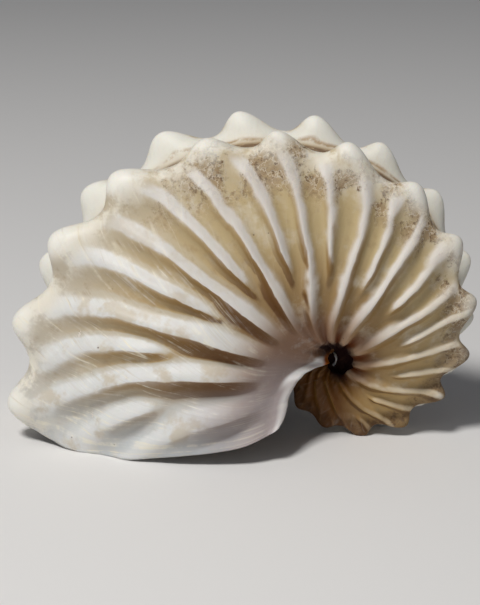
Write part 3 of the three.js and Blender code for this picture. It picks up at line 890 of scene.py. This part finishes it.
# The hollow keel between the knobs is cream at its sides and ochre in its middle, with brown flecks.
# A few brown creases follow the feet of the knobs.
keel_cream = paint(228, 226, 216)
keel_ochre = paint(176, 142, 82)
keel_fleck = paint(96, 62, 30)
crease_brown = paint(150, 114, 66)
keel_middle = at_place.falling(0.5, 1.5) * (0.2 + 0.8 * blotches) * (1 - late * 0.4)
keel_flecks = at_place.falling(0.3, 0.9) * fleck.rising(0.3, 0.5) * (1 - late * 0.5)
creases = near_level(at_place + 1.8 * folds + 0.5 * mottle - 1.8, 0.2) * mottle.rising(0.38, 0.6)
wall = mixed(wall, keel_cream, at_place.falling(1.8, 2.6) * 0.85)
wall = mixed(wall, keel_ochre, keel_middle)
wall = mixed(wall, keel_fleck, keel_flecks * 0.85)
wall = mixed(wall, crease_brown, creases * 0.7)

# Small dark pits are scattered over the wall.
PIT_SPACING = 3.0
pit_brown = paint(92, 68, 46)
cells = {"Vector": spot, "Scale": 1 / PIT_SPACING}
pit_distance = Signal.node("ShaderNodeTexVoronoi", {}, cells, output="Distance")
pit_chance = Signal.node("ShaderNodeTexVoronoi", {}, cells, output="Color")
pits = pit_distance.falling(0.02, 0.07) * pit_chance.rising(0.68, 0.72)
wall = mixed(wall, pit_brown, pits * 0.8)

# Inside, the wall is smooth and pale.
inside_cream = paint(222, 212, 198)
wall = mixed(wall, inside_cream, at_inside.rising(0.5, 1) * (1 - 0.6 * oldest))

tree = material.node_tree
tree.links.new(wall.socket, principled.inputs["Base Color"])

# The late shell has a satin polish. Dirt, the old hole and the blotches take it away.
rough = 0.42 + dirt * 0.35 + hole_shade * 0.4 + 0.12 * blotches - 0.06 * late
tree.links.new(rough.socket, principled.inputs["Roughness"])

# Fine relief, a tenth of a millimetre at most: threads and grain stand up, pits and creases sink in.
RELIEF = 0.1 * MM
height = threads * 0.5 + grains * 0.3 + dirt * 0.5 + fleck * 0.4 - pits * 0.8 - creases * 0.5
bump = Signal.node("ShaderNodeBump", {}, {"Strength": 1.0, "Distance": RELIEF, "Height": height})
tree.links.new(bump.socket, principled.inputs["Normal"])

# Light goes a little way into the thin calcite, and red the farthest.
principled.inputs["Specular IOR Level"].default_value = 0.3
principled.inputs["Subsurface Weight"].default_value = 0.1
principled.inputs["Subsurface Radius"].default_value = (1.0, 0.6, 0.3)
principled.inputs["Subsurface Scale"].default_value = 1.2 * MM
mesh.materials.append(material)

# The setting: a pale floor and a world of weak bluish light.
FLOOR_REACH = 4
FLOOR_COLOUR = (0.8, 0.79, 0.78, 1)
corners = [(-FLOOR_REACH, -FLOOR_REACH, 0), (FLOOR_REACH, -FLOOR_REACH, 0),
           (FLOOR_REACH, FLOOR_REACH, 0), (-FLOOR_REACH, FLOOR_REACH, 0)]
floor_mesh = bpy.data.meshes.new("floor")
floor_mesh.from_pydata(corners, [], [(0, 1, 2, 3)])
floor = bpy.data.objects.new("floor", floor_mesh)
bpy.context.collection.objects.link(floor)
floor_paint = bpy.data.materials.new("floor_paint")
floor_paint.use_nodes = True
floor_shader = floor_paint.node_tree.nodes["Principled BSDF"]
floor_shader.inputs["Base Color"].default_value = FLOOR_COLOUR
floor_shader.inputs["Roughness"].default_value = 0.9
floor_mesh.materials.append(floor_paint)

SKY_COLOUR = (0.9, 0.93, 1, 1)
SKY_STRENGTH = 0.12
world = bpy.data.worlds.new("studio")
world.use_nodes = True
world.node_tree.nodes["Background"].inputs["Color"].default_value = SKY_COLOUR
world.node_tree.nodes["Background"].inputs["Strength"].default_value = SKY_STRENGTH
bpy.context.scene.world = world

# The lights: a soft key light high up and a little to the left, and a broad, weak fill light from
# the left. Both are round lamps turned towards the middle of the shell.
target = Vector(pole) + Vector((-17.33, 0, 9.57)) * MM


def soft_light(name, way, distance, size, watts, colour):
    """A round lamp at a distance from the target along way, facing it."""
    lamp = bpy.data.lights.new(name, "AREA")
    lamp.shape = "DISK"
    lamp.size = size
    lamp.energy = watts
    lamp.color = colour
    holder = bpy.data.objects.new(name, lamp)
    direction = Vector(way).normalized()
    holder.location = target + direction * distance
    holder.rotation_euler = direction.to_track_quat("Z", "Y").to_euler()
    bpy.context.collection.objects.link(holder)


soft_light("key", (-0.3, -0.55, 1.0), 0.7, 0.16, 3.8, (1, 0.985, 0.96))
soft_light("fill", (-0.9, -1.0, 0.2), 0.9, 0.5, 1.0, (0.93, 0.97, 1))
bpy.context.scene.view_settings.view_transform = "Standard"

# The camera stands in front of the near flank, turned and raised as it was for the photograph.
CAMERA_HEIGHT = math.radians(18.5)
CAMERA_TURN = math.radians(4.4)
CAMERA_DISTANCE = 290 * MM
back = Vector((
    math.sin(CAMERA_TURN) * math.cos(CAMERA_HEIGHT),
    -math.cos(CAMERA_TURN) * math.cos(CAMERA_HEIGHT),
    math.sin(CAMERA_HEIGHT),
))
lens = bpy.data.cameras.new("camera")
lens.lens = 100
lens.sensor_width = 36
lens.clip_start = 0.01
camera = bpy.data.objects.new("camera", lens)
camera.location = target + back * CAMERA_DISTANCE
camera.rotation_euler = back.to_track_quat("Z", "Y").to_euler()
bpy.context.collection.objects.link(camera)
bpy.context.scene.camera = camera
